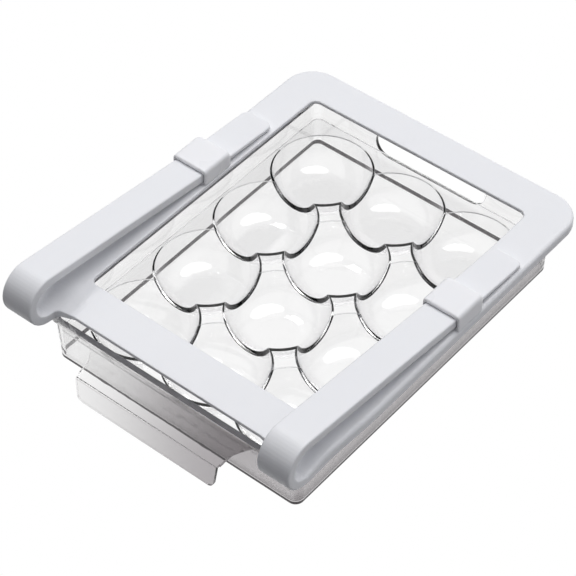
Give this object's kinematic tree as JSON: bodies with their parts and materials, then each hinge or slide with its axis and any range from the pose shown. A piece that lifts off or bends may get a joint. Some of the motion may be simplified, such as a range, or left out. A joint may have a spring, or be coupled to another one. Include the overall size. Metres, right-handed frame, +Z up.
{
  "type": "fridge drawer organizer",
  "caption": "Clip-on fridge drawer: a white window frame with fold-back shelf straps carries a clear sliding drawer with an egg cup tray and a curved pull lip.",
  "frame": {"origin": "middle of the overall box in plan, at the height of the drawer's underside", "axes": "+X to the right seen from the handle, +Y from the handle to the back, +Z up"},
  "size_m": [0.1882, 0.245, 0.0661],
  "materials": {
    "white_plastic": "satin moulded",
    "white_gloss_plastic": "smooth moulded",
    "clear_plastic": "clear polished"
  },
  "bodies": {
    "frame": {"support_frame": "white_plastic"},
    "drawer_body": {"drawer": "clear_plastic", "egg_tray": "clear_plastic"},
    "left_keeper_body": {"left_keeper": "white_gloss_plastic"},
    "right_keeper_body": {"right_keeper": "white_gloss_plastic"}
  },
  "joints": [
    {"name": "drawer_slide", "type": "slide", "parent": "frame", "child": "drawer_body", "axis": [0, -1, 0], "range_m": [0, 0.15]},
    {"name": "left_keeper_slide", "type": "slide", "parent": "frame", "child": "left_keeper_body", "axis": [0, 1, 0], "range_m": [0, 0.022]},
    {"name": "right_keeper_slide", "type": "slide", "parent": "frame", "child": "right_keeper_body", "axis": [0, 1, 0], "range_m": [0, 0.022]}
  ]
}
